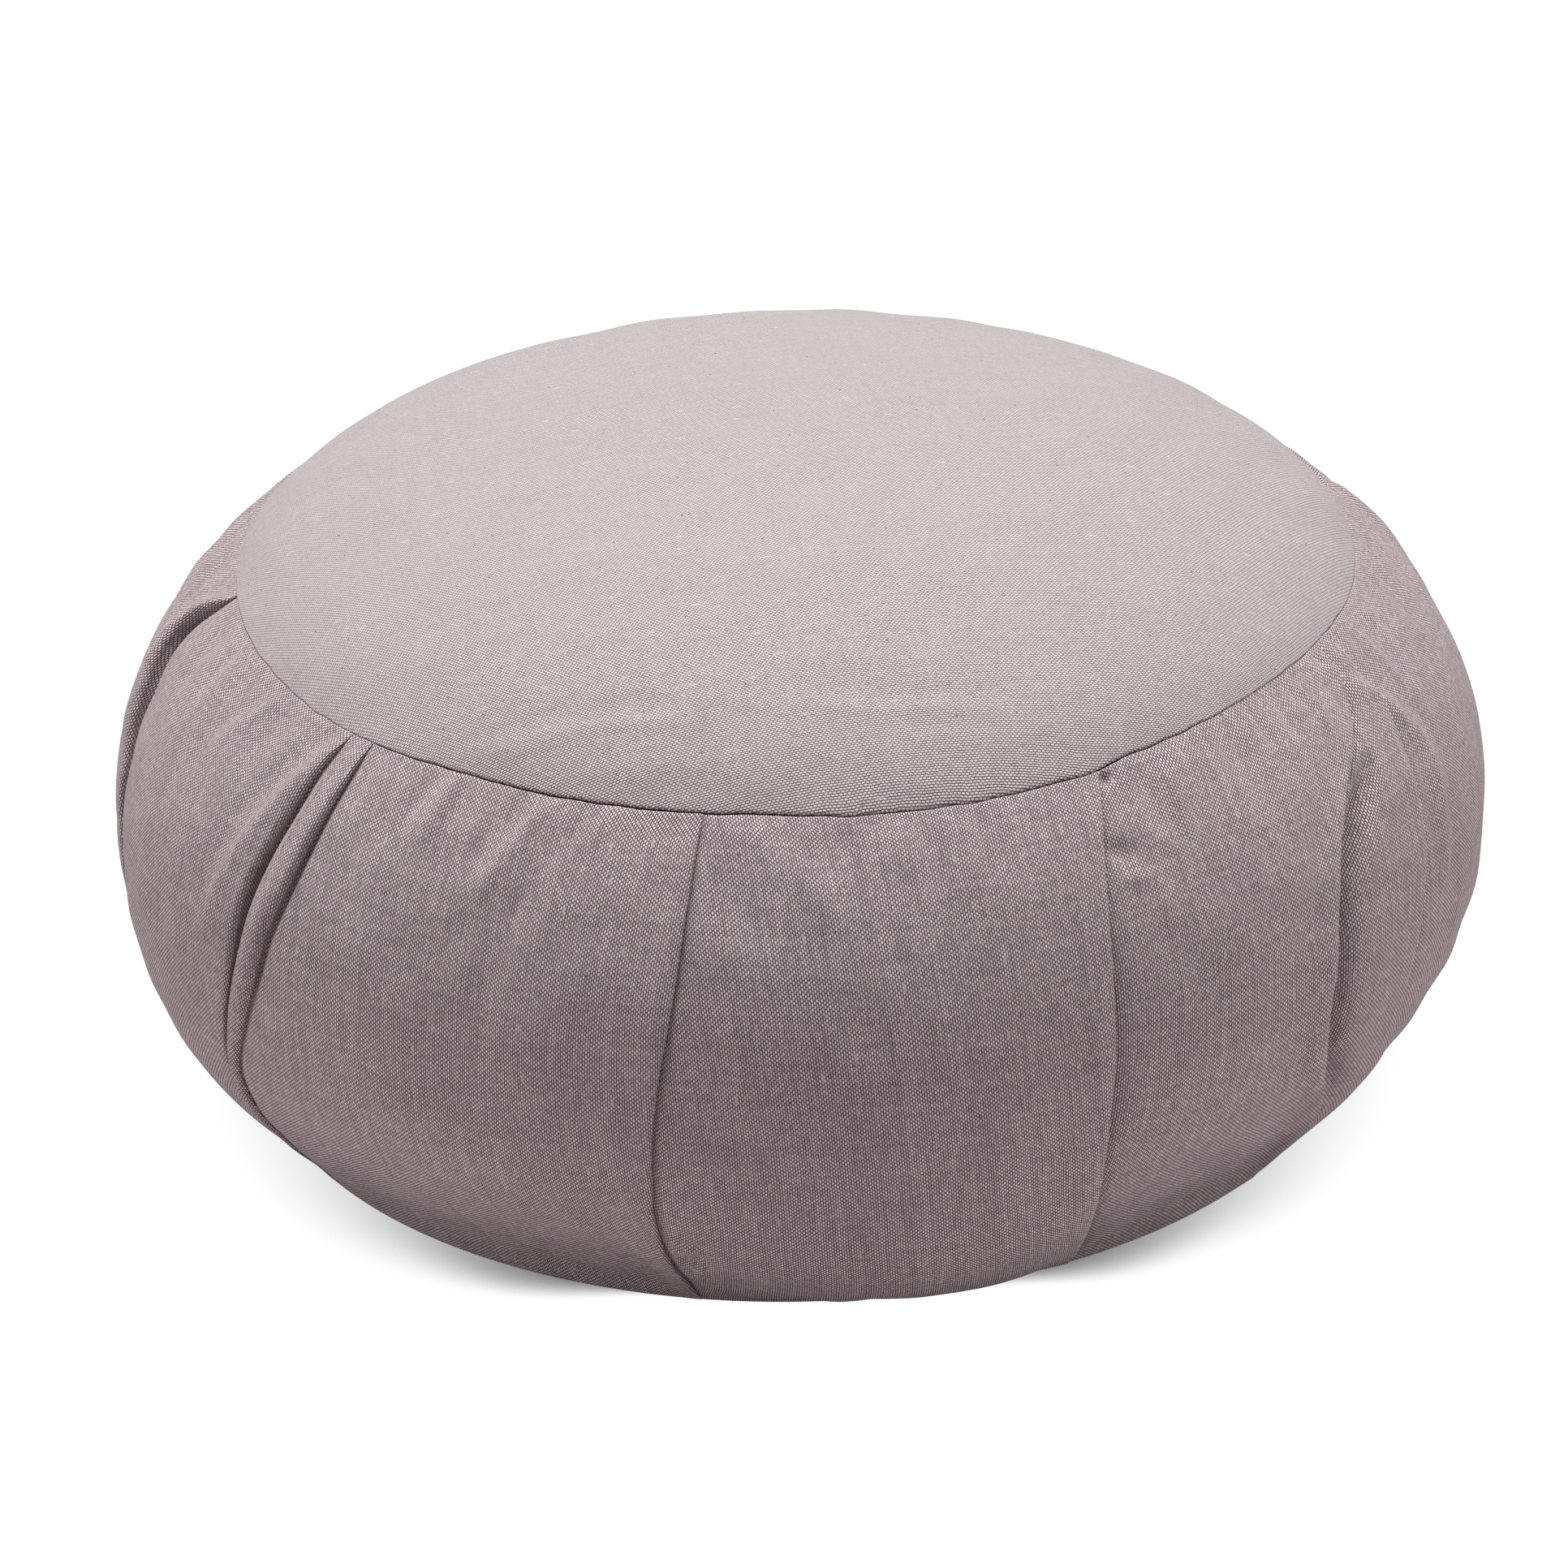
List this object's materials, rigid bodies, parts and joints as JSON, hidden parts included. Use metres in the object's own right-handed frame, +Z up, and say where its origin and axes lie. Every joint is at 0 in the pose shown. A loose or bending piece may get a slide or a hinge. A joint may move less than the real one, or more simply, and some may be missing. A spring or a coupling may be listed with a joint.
{
  "type": "zafu meditation cushion",
  "caption": "Round filled floor cushion with a crowned top panel, a knife-pleated side band and a flat-resting base, in two-tone plain-weave cotton canvas.",
  "frame": {"origin": "on the floor plane, under the middle of the cushion's outline", "axes": "+Z up out of the crowned top; -Y towards the front of the cushion, the side the picture was taken from; +X to its right"},
  "size_m": [0.3506, 0.3502, 0.176],
  "materials": {
    "panel_canvas": "matte plain weave, ecru floats on mauve-grey, warp running left to right",
    "band_canvas": "matte plain weave, ecru floats on mauve-grey, warp running top to bottom",
    "base_canvas": "matte plain weave, ecru floats on mauve-grey"
  },
  "bodies": {
    "root": {"top_panel": "panel_canvas", "side_band": "band_canvas", "bottom_panel": "base_canvas"}
  },
  "joints": []
}
